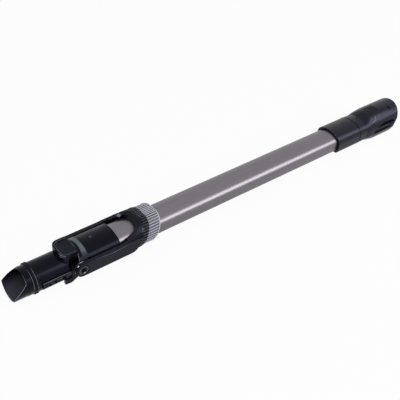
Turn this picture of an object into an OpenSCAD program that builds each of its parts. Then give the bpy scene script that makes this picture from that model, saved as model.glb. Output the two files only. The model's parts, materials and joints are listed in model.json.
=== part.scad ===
// Vacuum extension wand with a fold joint, a slide collar and a latched socket end.
// Millimetres. The wand lies along X, the spigot end at -X and the socket end at +X.
// Z is up, and X and Y are zero at the middle of the footprint.
// Inside the modules, x = 0 is the collar's right face and z = 0 the tube's middle.

/* [Tube] */
// Width of the tube's section
tube_w = 36.4; // [34:0.2:40]
// Height of the domed top above the tube's middle
tube_top = 11.3; // [10.5:0.1:12.5]
// Depth of the flat underside below the tube's middle
tube_bottom = 11; // [10:0.1:12]
// Radius of the domed top
dome_r = 28.6; // [26:0.2:34]
// Radius of the two upper corners
tube_corner_r = 9; // [6:0.5:10]
// Radius of the two lower corners
tube_foot_r = 3; // [2:0.5:5]
// Wall of the aluminium tube
tube_wall = 1.4; // [1:0.1:2]
// Length of tube between the collar and the socket sleeve
tube_run = 312.7; // [240:1:420]

/* [Spigot head] */
// Outside diameter of the round spigot
spigot_d = 36; // [34:0.2:37]
// Wall of the spigot
spigot_wall = 1.8; // [1.5:0.1:2.4]
// Depth of the spigot's axis below the tube's middle
spigot_drop = 6.1; // [5:0.1:7]
// Length of the spigot, from the tip of its lower lip to the joint
spigot_len = 73.2; // [70:0.2:84]
// Width of the sealing bead
bead_w = 4; // [3:0.5:6]
// Distance from the tip of the lip to the bead
bead_from = 26.2; // [25:0.2:30]

/* [Fold joint] */
// Distance of the pivot from the collar's face
pivot_x = 106.5; // [102:0.5:112]
// Depth of the pivot below the tube's middle
pivot_drop = 3.2; // [3:0.1:3.8]
// Distance from the side of the tube to the outer face of an arm
arm_side = 7.8; // [7.6:0.1:9.6]
// Thickness of an arm
arm_t = 4.4; // [3.8:0.1:4.6]
// Height of an arm, which is the diameter of its rounded end
arm_h = 18; // [16:0.5:19]
// Radius of the arch from the arms up to the ring
arch_r = 61; // [54:1:62]

/* [Collar] */
// Half of the collar's height
collar_r = 19.05; // [18.6:0.05:20]
// How far the collar reaches past the side of the tube
collar_side = 5.9; // [4.8:0.1:6.8]
// Width of the light grey ribbed ring
grip_ring_w = 16.2; // [12:0.2:18]
// Width of the black ribbed band
grip_band_w = 8.2; // [6:0.2:10]
// Height of the ribs
rib_h = 0.8; // [0.5:0.1:1]
// Distance from rib to rib
rib_pitch = 3.1; // [2.8:0.1:4]

/* [Socket end] */
// Bore of the socket
socket_bore = 36.4; // [36.2:0.1:37.6]
// Outside diameter of the socket over its shells
socket_d = 47.6; // [47.2:0.2:50]
// Depth of the socket's axis below the tube's middle
socket_drop = 3.2; // [3:0.1:3.4]
// Length of the socket sleeve on the tube
sleeve_len = 43.8; // [36:0.2:50]
// Length of the socket on its axis, from the sleeve to the mouth
socket_len = 75.5; // [68:0.5:90]

/* [Hidden] */
$fn = 96;
half_w = tube_w / 2;
dome_z = tube_top - dome_r;
corner_y = half_w - tube_corner_r;
corner_z = dome_z + sqrt(pow(dome_r - tube_corner_r, 2) - pow(corner_y, 2));
gap = 0.3;
fit = 0.05;
slant = 0.46;
lean = atan(slant);
big = 120;
past = 24;
skin = 2.2;
arm_out = half_w + arm_side;
arm_in = arm_out - arm_t;
arm_top = arm_h / 2 - pivot_drop;
collar_z = -1.4;
collar_hw = half_w + collar_side;
yoke_grow = 1.1;
ring_face = -1.9;
band_face = ring_face - grip_ring_w;
yoke_face = band_face - grip_band_w - gap;
web_t = 4;
collar_wall = 2.2;
sleeve_r = collar_r - collar_wall - gap;
sleeve_hw = collar_hw - collar_wall - gap;
arch_x = yoke_face - 17.4;
arch_mid = arch_x - 14;
arch_z = arm_top + arch_r - 0.05;
arm_turn = arch_x + 3;
turn_r = arm_h - 6;
tube_from = 12.5 - pivot_x;
keeper_x = tube_from - 2;
tube_to = tube_run + sleeve_len - 4.5;
spigot_r = spigot_d / 2;
spigot_end = -pivot_x - 7.5;
mouth_x = spigot_end - spigot_len;
bead_x = mouth_x + bead_from;
nose_r = spigot_r - 0.2;
lip_r = nose_r - 0.4;
lip_to = mouth_x + 16.7;
ear_out = arm_in - 1;
ear_in = spigot_r - 1;
ear_r = arm_h / 2 + 0.3;
ear_top = arm_top + 0.2;
washer_r = 9.2;
bush_r = 4;
screw_r = 2;
head_r = 4.2;
head_h = 1.78;
hose_z = -2;
hose_r = 8.8;
hose_hw = 13;
cover_grow = 2.7;
cover_gap = 0.5;
cover_skirt_z = -3;
cover_foot_z = arm_top + 0.5;
cover_left = tube_from - 1.3;
cover_right = arch_x - 9;
shoulder_face = spigot_end + 1.9;
shoulder_grow = cover_grow + 0.4;
button_front = spigot_end - 10;
button_hw = 12.6;
button_r = 6;
button_l = shoulder_face + slant * (tube_top + shoulder_grow) - 0.7 - button_front;
button_top = 17.6;
button_t = 2.6;
button_travel = 1.5;
pad_z = button_top - button_t;
sleeve_from = tube_run;
socket_from = tube_run + sleeve_len;
socket_mouth = socket_from + socket_len;
socket_r = socket_d / 2;
core_r = socket_r - skin - gap;
bore_r = socket_bore / 2;
neck_r = 12;
neck_hw = half_w + 0.3;
neck_grow = 3.1;
neck_bore_r = 7.6;
neck_bore_hw = 14.5;
plug_l = 14;
shell_from = socket_from + 24.5;
bore_from = shell_from + 3;
taper = 5;
shell_taper = 9;
side_groove = 9;
groove_z = 2;
shell_flat = 1.7;
latch_x = socket_from + 38;
latch_l = 18;
latch_w = 13;
pocket_z = bore_r + 1 - socket_drop;
seal_x = latch_x + latch_l / 2 + 4.3;
floor_z = shell_flat - socket_drop - socket_r;
x_high = socket_mouth + slant * (socket_r - socket_drop);
mid_x = (mouth_x + x_high) / 2;
black = [0.13, 0.13, 0.15];
taupe = [0.47, 0.45, 0.47];
light_grey = [0.62, 0.62, 0.66];
slate = [0.37, 0.4, 0.43];
steel = [0.75, 0.75, 0.76];

// Puts the wand as it lies: lowest point on z = 0, middle of the footprint at the origin.
module at_rest() {
    translate([-mid_x, 0, -floor_z]) children();
}

// Extrudes a section drawn in Y and Z along X, from one x to another.
module along(x0, x1) {
    translate([x0, 0, 0])
        rotate([90, 0, 90])
            linear_extrude(x1 - x0) children();
}

// Slab between two leaning planes, named by their x on the axis.
module leaning(x0, x1, a) {
    translate([x0, 0, 0])
        rotate([0, a, 0])
            translate([0, -big, -big])
                cube([(x1 - x0) * cos(a), 2 * big, 2 * big]);
}

// Round bar or disc along X.
module disc(x0, x1, r, z) {
    translate([x0, 0, z])
        rotate([0, 90, 0])
            cylinder(h = x1 - x0, r = r);
}

// Pin along Y on the side given by s, between two distances from the middle plane.
module side_pin(x, z, y0, y1, r, s) {
    translate([x, s * y0, z])
        rotate([-90 * s, 0, 0])
            cylinder(h = y1 - y0, r = r);
}

// Domed top of a section: the dome's arc, carried by a round corner at each side.
module domed_top(r_dome, mid, r_corner, y_corner, z_corner, grow) {
    reach = 0.9 * (r_corner + grow) * y_corner / (r_dome - r_corner);
    for (s = [-1, 1])
        translate([s * y_corner, z_corner]) circle(r = r_corner + grow);
    intersection() {
        translate([0, mid]) circle(r = r_dome + grow);
        translate([-y_corner - reach, z_corner]) square([2 * (y_corner + reach), big]);
    }
}

// The tube's section: domed top, two round upper corners, flat underside.
module dee(grow) {
    foot_y = half_w - tube_foot_r;
    foot_z = tube_foot_r - tube_bottom;
    domed_top(dome_r, dome_z, tube_corner_r, corner_y, corner_z, grow);
    for (s = [-1, 1])
        translate([s * foot_y, foot_z]) circle(r = tube_foot_r + grow);
    translate([-foot_y, -tube_bottom - grow])
        square([2 * foot_y, corner_z + tube_bottom + grow]);
    translate([-half_w - grow, foot_z])
        square([tube_w + 2 * grow, corner_z - foot_z]);
}

// Oval with straight top and bottom, about a middle at height z.
module oval(r, hw, z) {
    for (s = [-1, 1])
        translate([s * (hw - r), z]) circle(r = r);
    translate([r - hw, z - r]) square([2 * (hw - r), 2 * r]);
}

module wand_tube() {
    color(taupe) at_rest()
        along(tube_from, tube_to)
            difference() {
                dee(0);
                dee(-tube_wall);
            }
}

// Side view of an arm: round end at the pivot, straight edges, lower edge turned up at the
// ring. The arch cuts its top.
module arm_side() {
    translate([-pivot_x, -pivot_drop]) circle(r = arm_h / 2);
    translate([-pivot_x, arm_top - arm_h]) square([pivot_x + arm_turn, arm_h]);
    translate([arm_turn, arm_top - arm_h + turn_r]) circle(r = turn_r);
    translate([arch_mid, arm_top - 4]) square([yoke_face + 10 - arch_mid, 22]);
}

module yoke() {
    color(black) at_rest()
        difference() {
            union() {
                intersection() {
                    along(arch_x, yoke_face + 20)
                        oval(collar_r + yoke_grow, collar_hw + yoke_grow, collar_z);
                    leaning(-200, yoke_face, lean);
                }
                intersection() {
                    along(-140, 0) union() {
                        oval(collar_r + 2.2, arm_out, collar_z);
                        translate([-arm_out - 1, arm_top - arm_h - 1])
                            square([2 * arm_out + 2, arm_h + 1.4]);
                    }
                    leaning(-300, yoke_face, lean);
                    for (s = [-1, 1])
                        translate([0, s < 0 ? -arm_in : arm_out, 0])
                            rotate([90, 0, 0])
                                linear_extrude(arm_t) arm_side();
                }
                intersection() {
                    along(yoke_face - 20, ring_face + 10) oval(sleeve_r, sleeve_hw, collar_z);
                    leaning(yoke_face - 0.5, ring_face - web_t / 2 - gap, lean);
                }
            }
            intersection() {
                along(arch_x - 1, 0) oval(collar_r - skin, collar_hw - skin, collar_z);
                leaning(-200, yoke_face - web_t, lean);
            }
            translate([arch_mid, 0, arch_z])
                rotate([90, 0, 0]) cylinder(h = big, r = arch_r, center = true);
            along(-60, 20) dee(gap);
            for (s = [-1, 1]) {
                side_pin(-pivot_x, -pivot_drop, arm_in - 1, arm_in + 2, bush_r + fit, s);
                side_pin(-pivot_x, -pivot_drop, arm_in, arm_out, screw_r + gap, s);
                side_pin(-pivot_x, -pivot_drop, arm_out - 2, arm_out + 1, head_r + gap, s);
            }
        }
}

module tube_end_fitting() {
    color(slate) at_rest()
        difference() {
            union() {
                along(keeper_x, tube_from) dee(0);
                along(tube_from, tube_from + 16) dee(-tube_wall - gap);
            }
            along(keeper_x - 1, tube_from + 17) oval(hose_r - 1.6, hose_hw - 1.6, hose_z);
        }
}

// Oval bellows that bends when the wand folds.
module joint_hose() {
    from = spigot_end - 8;
    to = keeper_x - gap;
    folds = 6;
    pitch = (to - from) / folds;
    color(black) at_rest()
        difference() {
            union() {
                along(from, to) oval(hose_r - 1, hose_hw - 1, hose_z);
                for (i = [0 : folds - 1])
                    along(from + (i + 0.2) * pitch, from + (i + 0.75) * pitch)
                        oval(hose_r, hose_hw, hose_z);
            }
            along(from - 1, to + 1) oval(hose_r - 1.8, hose_hw - 1.8, hose_z);
        }
}

module pivot_screws() {
    color(steel) at_rest()
        for (s = [-1, 1])
            difference() {
                union() {
                    side_pin(-pivot_x, -pivot_drop, ear_in - 1, arm_out - 1, screw_r, s);
                    side_pin(-pivot_x, -pivot_drop, arm_out - 0.2 - head_h, arm_out - 0.2,
                        head_r, s);
                }
                translate([-pivot_x, s * (arm_out - 0.5), -pivot_drop])
                    for (a = [45, 135])
                        rotate([0, a, 0]) cube([5, 1.6, 0.9], center = true);
            }
}

module pivot_bushes() {
    color(steel) at_rest()
        for (s = [-1, 1])
            difference() {
                side_pin(-pivot_x, -pivot_drop, ear_in, arm_in + 1.95, bush_r, s);
                side_pin(-pivot_x, -pivot_drop, ear_in - 1, arm_out, screw_r + fit, s);
            }
}

module pivot_washers() {
    color(steel) at_rest()
        for (s = [-1, 1])
            difference() {
                side_pin(-pivot_x, -pivot_drop, ear_out + 0.15, arm_in - 0.15, washer_r, s);
                side_pin(-pivot_x, -pivot_drop, ear_out, arm_in + 1, bush_r + fit, s);
            }
}

// Ribs along X round an oval, seen end on, standing out from its surface.
module rib_marks(r, hw, z) {
    flat = hw - r;
    round_n = floor(180 * r * PI / 180 / rib_pitch);
    flat_n = floor(2 * flat / rib_pitch);
    for (s = [-1, 1])
        for (i = [0 : round_n])
            translate([s * (flat + r * sin(i * 180 / round_n)), z + r * cos(i * 180 / round_n)])
                circle(r = rib_h, $fn = 24);
    for (s = [-1, 1])
        for (i = [1 : flat_n])
            translate([-flat + i * 2 * flat / (flat_n + 1), z + s * r])
                circle(r = rib_h, $fn = 24);
}

// Ring of the collar between two leaning faces, ribbed outside.
module ribbed_ring(x0, x1, grow) {
    base_r = collar_r + grow - rib_h;
    base_hw = collar_hw + grow - rib_h;
    intersection() {
        difference() {
            along(x0 - 14, x1 + 14) union() {
                oval(base_r, base_hw, collar_z);
                rib_marks(base_r, base_hw, collar_z);
            }
            along(x0 - 15, x1 + 15) oval(sleeve_r + gap, sleeve_hw + gap, collar_z);
        }
        leaning(x0, x1, lean);
    }
}

module grip_band() {
    color(black) at_rest() ribbed_ring(band_face - grip_band_w, band_face, yoke_grow);
}

module grip_ring() {
    color(light_grey) at_rest() {
        ribbed_ring(band_face, ring_face, 0);
        intersection() {
            difference() {
                along(-20, 20) oval(sleeve_r + gap + 0.2, sleeve_hw + gap + 0.2, collar_z);
                along(-21, 21) dee(gap);
            }
            leaning(ring_face - web_t / 2, ring_face, lean);
        }
    }
}

// Side view of an ear: round at the pivot, plate back to the pipe, cheek below.
module ear_side() {
    translate([-pivot_x, -pivot_drop]) circle(r = ear_r);
    translate([-pivot_x - 12, -pivot_drop]) square([18, pivot_drop + ear_top]);
    translate([-pivot_x - 12, -pivot_drop - ear_r]) square([12, ear_r]);
    polygon([[-pivot_x - 12, -12.3], [-pivot_x - 21, -12.3], [-pivot_x - 21, -19],
        [-pivot_x - 13, -19.5], [-pivot_x, -pivot_drop - ear_r]]);
}

// Spigot with ears for the joint. Its mouth is scooped, so that a lower lip stands forward.
module spigot_pipe() {
    color(black) at_rest()
        difference() {
            union() {
                disc(mouth_x, lip_to, lip_r, -spigot_drop);
                disc(lip_to, bead_x, nose_r, -spigot_drop);
                disc(bead_x - bead_w / 2 - gap, spigot_end, spigot_r, -spigot_drop);
                for (s = [-1, 1])
                    translate([0, s < 0 ? -ear_in : ear_out, 0])
                        rotate([90, 0, 0])
                            linear_extrude(ear_out - ear_in) ear_side();
            }
            disc(mouth_x - 1, spigot_end + 1, spigot_r - spigot_wall, -spigot_drop);
            translate([mouth_x, big / 2, -spigot_drop])
                rotate([90, 0, 0])
                    linear_extrude(big)
                        polygon([[-past, 30], [16.5, 30], [15, 9], [-past, -22.2]]);
            for (s = [-1, 1])
                side_pin(-pivot_x, -pivot_drop, ear_in - 1, ear_out + 1, bush_r + fit, s);
        }
}

// Sealing bead with a rounded back and two fine lips.
module bead_ring() {
    color(black) at_rest()
        translate([bead_x, 0, -spigot_drop])
            rotate([0, 90, 0])
                rotate_extrude()
                    difference() {
                        union() {
                            translate([spigot_r + fit, -bead_w / 2]) square([0.6, bead_w]);
                            for (s = [-1, 1])
                                translate([spigot_r + 0.6, s * (bead_w / 2 - 0.6)]) circle(r = 0.6);
                        }
                        translate([spigot_r - 1, -bead_w]) square([1 + fit, 2 * bead_w]);
                    }
}

module guide_rails() {
    rail_from = bead_x + 6;
    rail_to = spigot_end - 5;
    pitch = (rail_to - rail_from) / 3.6;
    color(black) at_rest()
        for (s = [-1, 1])
            difference() {
                intersection() {
                    difference() {
                        disc(rail_from, rail_to, spigot_r + 1.9, -spigot_drop);
                        disc(rail_from - 1, rail_to + 1, spigot_r + 0.1, -spigot_drop);
                    }
                    translate([rail_from, s < 0 ? -big : 0, -12]) cube([rail_to - rail_from, big, 9]);
                }
                for (i = [0 : 2])
                    translate([rail_from + (i + 0.5) * pitch, s < 0 ? -big : 0, -10])
                        cube([0.55 * pitch, big, 4]);
            }
}

module hose_cuff() {
    color(black) at_rest()
        difference() {
            disc(spigot_end - 7.5, spigot_end - 0.5, spigot_r - spigot_wall - 0.1, -spigot_drop);
            along(spigot_end - 9, spigot_end + 1) oval(hose_r + gap, hose_hw + gap, hose_z);
        }
}

// Plan of the release button, with round front corners.
module button_plan(grow) {
    for (s = [-1, 1])
        translate([button_front + button_r, s * (button_hw - button_r)])
            circle(r = button_r + grow);
    translate([button_front - grow, button_r - button_hw])
        square([button_l, 2 * (button_hw - button_r)]);
    translate([button_front + button_r, -button_hw - grow])
        square([button_l - button_r + grow, 2 * (button_hw + grow)]);
}

// Raised frame round the button, open towards the shoulder.
module button_bezel() {
    color(black) at_rest()
        difference() {
            translate([0, 0, 2]) linear_extrude(button_top - 1.6) button_plan(2.4);
            translate([0, 0, 1]) linear_extrude(button_top) button_plan(gap);
            translate([button_front + button_l - 1, -big, 0]) cube([20, 2 * big, 40]);
            translate([spigot_end, -big, 0]) cube([30, 2 * big, 9]);
            leaning(shoulder_face - gap, shoulder_face + 20, lean);
            disc(button_front - 20, button_front + 30, spigot_r + 0.1, -spigot_drop);
        }
}

module button_spring() {
    base = spigot_r - spigot_drop + 0.15;
    color(steel) at_rest()
        translate([button_front + 7, 0, base])
            difference() {
                cylinder(h = pad_z - base - 0.15, r = 3.4);
                translate([0, 0, -1]) cylinder(h = 9, r = 2.6);
            }
}

// Button with a stem in front of the shoulder and a latch arm that reaches under it.
module release_button() {
    arm_x = spigot_end + 0.4;
    arm_z = hose_z + hose_r + button_travel + 0.5;
    color(black) at_rest()
        difference() {
            union() {
                translate([0, 0, pad_z]) linear_extrude(button_t) button_plan(0);
                translate([arm_x, -4, arm_z]) cube([1.6, 8, pad_z - arm_z + 0.5]);
                translate([arm_x, -4, arm_z]) cube([keeper_x - 0.4 - arm_x, 8, 1.8]);
            }
            translate([button_front + 9, 0, button_top + 39.2])
                rotate([90, 0, 0]) cylinder(h = 60, r = 40, center = true);
        }
}

// Sleeve over the tube's top and sides between two places, without its part below z0.
module half_sleeve(x0, x1, grow, z0) {
    difference() {
        along(x0, x1) dee(grow);
        along(x0 - 1, x1 + 1) dee(cover_gap);
        translate([x0 - 1, -big, z0 - big]) cube([x1 - x0 + 2, 2 * big, big]);
    }
}

module shoulder_band() {
    color(slate) at_rest()
        difference() {
            half_sleeve(shoulder_face - 8, cover_left, shoulder_grow, cover_foot_z);
            leaning(shoulder_face - 60, shoulder_face, lean);
        }
}

// Cover with a deeper skirt behind the tube's end, where no ear is in its way.
module joint_cover() {
    color(black) at_rest()
        difference() {
            half_sleeve(cover_left, cover_right, cover_grow, cover_skirt_z);
            translate([cover_left - 1, -big, cover_foot_z - big])
                cube([tube_from - cover_left + 1, 2 * big, big]);
        }
}

module socket_sleeve() {
    color(black) at_rest()
        along(sleeve_from, socket_from)
            difference() {
                dee(3.4);
                dee(gap);
            }
}

// Plug that joins the tube's end to the socket.
module neck_plug() {
    color(black) at_rest()
        along(tube_to - plug_l, socket_from)
            difference() {
                dee(-tube_wall - gap);
                oval(neck_bore_r, neck_bore_hw, 0);
            }
}

// Cover round the neck, flush with the sleeve, with the screw's hole on top.
module neck_cover() {
    color(black) at_rest()
        difference() {
            along(socket_from + gap, shell_from - taper - gap) dee(neck_grow);
            along(socket_from, shell_from) oval(neck_r + 0.1, neck_hw + 0.1, 0);
            translate([socket_from + 11, 0, 5]) cylinder(h = 30, r = 1.6);
        }
}

// Round socket with a narrower oval neck.
module socket_core() {
    color(black) at_rest()
        difference() {
            union() {
                along(socket_from, bore_from + 2) oval(neck_r, neck_hw, 0);
                translate([shell_from - taper, 0, -socket_drop])
                    rotate([0, 90, 0]) cylinder(h = taper, r1 = core_r - 1.5, r2 = core_r);
                disc(shell_from, socket_mouth + past, core_r, -socket_drop);
            }
            along(socket_from - 1, bore_from + 1) oval(neck_bore_r, neck_bore_hw, 0);
            disc(bore_from, socket_mouth + past + 1, bore_r, -socket_drop);
            leaning(socket_mouth, socket_mouth + 3 * past, lean);
            translate([socket_from + 11, 0, 0]) cylinder(h = 30, r = 1.6);
            disc(seal_x - 1.6, seal_x + 1.6, bore_r + 1.4, -socket_drop);
            translate([latch_x - latch_l / 2 - gap, -latch_w / 2 - gap, pocket_z])
                cube([latch_l + 2 * gap, latch_w + 2 * gap, 20]);
        }
}

// Shell round the socket core, above or below the finger grooves.
module socket_shell(z0, z1) {
    intersection() {
        difference() {
            union() {
                disc(shell_from + shell_taper, socket_mouth + past, socket_r, -socket_drop);
                translate([shell_from, 0, -socket_drop])
                    rotate([0, 90, 0]) cylinder(h = shell_taper, r1 = core_r + 0.8, r2 = socket_r);
            }
            disc(shell_from - 1, socket_mouth + past + 1, core_r + 0.1, -socket_drop);
            leaning(socket_mouth, socket_mouth + 3 * past, lean);
        }
        translate([shell_from - 1, -big, z0])
            cube([socket_len + past, 2 * big, z1 - z0]);
    }
}

module upper_shell() {
    color(black) at_rest()
        difference() {
            socket_shell(groove_z, socket_r);
            translate([latch_x - latch_l / 2 - gap, -latch_w / 2 - gap, 0])
                cube([latch_l + 2 * gap, latch_w + 2 * gap, 60]);
            translate([socket_mouth - 6, -4, 0]) cube([3, 8, 60]);
        }
}

// Lower shell, with a narrow flat underneath on which the wand lies.
module lower_shell() {
    color(black) at_rest() socket_shell(floor_z, groove_z - side_groove);
}

module socket_seal() {
    color(black) at_rest()
        difference() {
            disc(seal_x - 1.4, seal_x + 1.4, bore_r + 1.3, -socket_drop);
            disc(seal_x - 2, seal_x + 2, bore_r - 0.02, -socket_drop);
        }
}

module socket_screw() {
    color(steel) at_rest()
        translate([socket_from + 11, 0, neck_r - 2.6])
            cylinder(h = 4, r = 1.5);
}

module latch_button() {
    color(black) at_rest()
        intersection() {
            difference() {
                disc(latch_x - latch_l / 2, latch_x + latch_l / 2, socket_r - 0.2, -socket_drop);
                disc(latch_x - latch_l, latch_x + latch_l, socket_r - 2, -socket_drop);
                translate([latch_x, 0, socket_r - socket_drop + 29])
                    rotate([90, 0, 0]) cylinder(h = 60, r = 30, center = true);
            }
            translate([latch_x - latch_l / 2, -latch_w / 2, 10]) cube([latch_l, latch_w, 30]);
        }
}

module latch_spring() {
    color(steel) at_rest()
        translate([latch_x, 0, pocket_z + 0.15])
            difference() {
                cylinder(h = socket_r - socket_drop - 2 - pocket_z - 0.4, r = 3);
                translate([0, 0, -1]) cylinder(h = 9, r = 2.2);
            }
}

wand_tube();
yoke();
tube_end_fitting();
joint_hose();
pivot_screws();
pivot_bushes();
pivot_washers();
grip_band();
grip_ring();
spigot_pipe();
bead_ring();
guide_rails();
hose_cuff();
button_bezel();
button_spring();
release_button();
shoulder_band();
joint_cover();
socket_sleeve();
neck_plug();
neck_cover();
socket_core();
upper_shell();
lower_shell();
socket_seal();
socket_screw();
latch_button();
latch_spring();
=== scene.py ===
"""Vacuum extension wand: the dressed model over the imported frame."""

from __future__ import annotations

import json
import logging
import math
from dataclasses import dataclass, field
from enum import Enum
from typing import Any, Iterable

import bmesh
import bpy
from mathutils import Matrix, Vector

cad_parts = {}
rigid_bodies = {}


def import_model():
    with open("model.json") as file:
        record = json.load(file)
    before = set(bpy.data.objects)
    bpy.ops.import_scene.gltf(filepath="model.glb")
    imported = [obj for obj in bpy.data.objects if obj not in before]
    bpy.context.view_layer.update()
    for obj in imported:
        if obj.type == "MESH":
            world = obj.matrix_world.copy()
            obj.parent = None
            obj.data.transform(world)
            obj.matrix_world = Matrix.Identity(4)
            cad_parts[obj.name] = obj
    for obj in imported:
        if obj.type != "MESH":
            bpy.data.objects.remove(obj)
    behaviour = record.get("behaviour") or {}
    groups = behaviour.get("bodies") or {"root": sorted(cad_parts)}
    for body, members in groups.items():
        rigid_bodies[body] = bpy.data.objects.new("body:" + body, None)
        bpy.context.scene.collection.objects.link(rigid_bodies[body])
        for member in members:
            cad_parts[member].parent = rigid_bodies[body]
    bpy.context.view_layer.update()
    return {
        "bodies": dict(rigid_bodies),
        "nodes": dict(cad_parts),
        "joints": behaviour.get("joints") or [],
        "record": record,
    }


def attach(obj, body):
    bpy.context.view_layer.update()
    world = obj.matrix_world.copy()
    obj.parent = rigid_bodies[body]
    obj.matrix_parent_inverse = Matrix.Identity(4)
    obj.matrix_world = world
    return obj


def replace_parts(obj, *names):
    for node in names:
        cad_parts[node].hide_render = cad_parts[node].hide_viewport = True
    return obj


log = logging.getLogger("wand")

# Metres in a millimetre. Lengths below are in millimetres of the wand's own frame.
MM = 0.001
# Place of the row frame's origin in the wand's own frame: along it, and below its axis.
MID_X = 127.138
LIFT_Z = 25.3
# Lean of the collar, the shoulder and the socket's end, along the wand for each unit of height.
SLANT = 0.46
# The tube's section: half width, corner arcs, dome arc and feet arcs.
HALF_W = 18.2
CORNER_Y, CORNER_R = 9.2, 9
DOME_Z, DOME_R, DOME_DEG = -17.3, 28.6, 118
FOOT_Y, FOOT_Z, FOOT_R = 15.2, -8, 3
# Heights of the middles of the collar, the spigot and the socket.
COLLAR_Z = -1.4
SPIGOT_Z = -6.1
SOCKET_Z = -3.2
# The spigot's mouth: its foremost place, its bore, and where its rim bends.
MOUTH_X = -187.2
MOUTH_R = 17.0
KNEE_X, KNEE_Z = 15, 9
# Faces nearer to the spigot's axis than this are on its inner wall, which takes painted light.
INNER_R = 16.9
# The spigot's rails: their outer face, and the first notch and the next one.
RAIL_Y = 19.6
NOTCH_X, NOTCH_STEP = -149.0, 12
# The fold's pivots: along the wand, out to the bosses, and up. The arms end at ARM_Y.
PIVOT_X, PIVOT_Y, PIVOT_Z = -106.5, 25.9, -3.2
ARM_Y = 26
# Where the neck's fairing starts, how long it is, and its radius at the shells.
FAIRING_X, FAIRING_LEN, FAIRING_R = 371.0, 15.5, 23.3
# The socket's skin: where it starts, its radius there, how it widens, and its widest radius.
SKIN_X, SKIN_R, SKIN_GROWS, SKIN_MAX_R = 381, 22.35, 0.18, 23.8
# The socket's far end, and the radius of the grooves' ends.
SOCKET_END_X = 432
GROOVE_R = 23.4
# Ground of a ribbed ring, off its oval: faces between these heights are valleys, which take
# painted shade.
VALLEY_LOW, VALLEY_HIGH = -0.12, 0.36
# Vertices closer than this, in metres, are one. Faces flatter than this are one.
MERGE_M = 2e-6
FLAT_DEG = 0.6
# Edges sharper than this are rounded, in so many facets.
SHARP_DEG = 38
EDGE_FACETS = 3
# Facets round a cord, steps on an arc of the section, on a circle and across a patch.
CORD_SIDES = 8
ARC_STEPS = 12
CIRCLE_STEPS = 48
PATCH_STEPS = 8
# Tones: the near black that painted shade fades to, the sheen on black plastic, the floor and the
# room.
FADE_DARK = "0b0b0f"
BLUE_SHEEN = "d8d8ff"
WHITE = "ffffff"
FLOOR_TONE = "e4e4e6"
ROOM_TONE = "c4c4c8"
# Share of the floor that shows as plain white, and how bright the room is on the wand.
FLOOR_WHITE = 0.95
ROOM_LEVEL = 0.4


def at(x: float, y: float, z: float) -> Vector:
    """Turns a place of the wand into one of the row frame.

    Args:
        x: place along the wand, in mm.
        y: place across it, far side positive, in mm.
        z: height over its axis, in mm.

    Returns:
        The point of the row frame, in metres.
    """
    return Vector(((x - MID_X) * MM, y * MM, (z + LIFT_Z) * MM))


def linear(code: str) -> tuple[float, float, float, float]:
    """Turns an sRGB hex value to a linear colour.

    Args:
        code: six hex digits, such as "7b757a".

    Returns:
        Red, green, blue and an alpha of one.
    """
    parts = [int(code[i:i + 2], 16) / 255 for i in (0, 2, 4)]
    return (*[p / 12.92 if p <= 0.04045 else ((p + 0.055) / 1.055) ** 2.4 for p in parts], 1.0)


def add_node(tree: bpy.types.NodeTree, kind: str, links: dict[str, Any] | None = None,
             values: dict[str, Any] | None = None, **settings: Any) -> bpy.types.Node:
    """Adds one shader node.

    Args:
        tree: node tree that takes the node.
        kind: Blender's name for the node's type.
        links: output sockets to join, by the name or number of this node's input.
        values: constants, by the name or number of this node's input.
        settings: the node's own settings.

    Returns:
        The new node.
    """
    node = tree.nodes.new(kind)
    for name, value in settings.items():
        setattr(node, name, value)
    for name, value in (values or {}).items():
        node.inputs[name].default_value = value
    for name, socket in (links or {}).items():
        tree.links.new(socket, node.inputs[name])
    return node


class Grain(Enum):
    """How the surface of a finish was made, as the way its fine pattern runs."""

    DRAWN = (0.03, 1.0, 1.0)
    MOULDED = (1.0, 1.0, 1.0)


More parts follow.
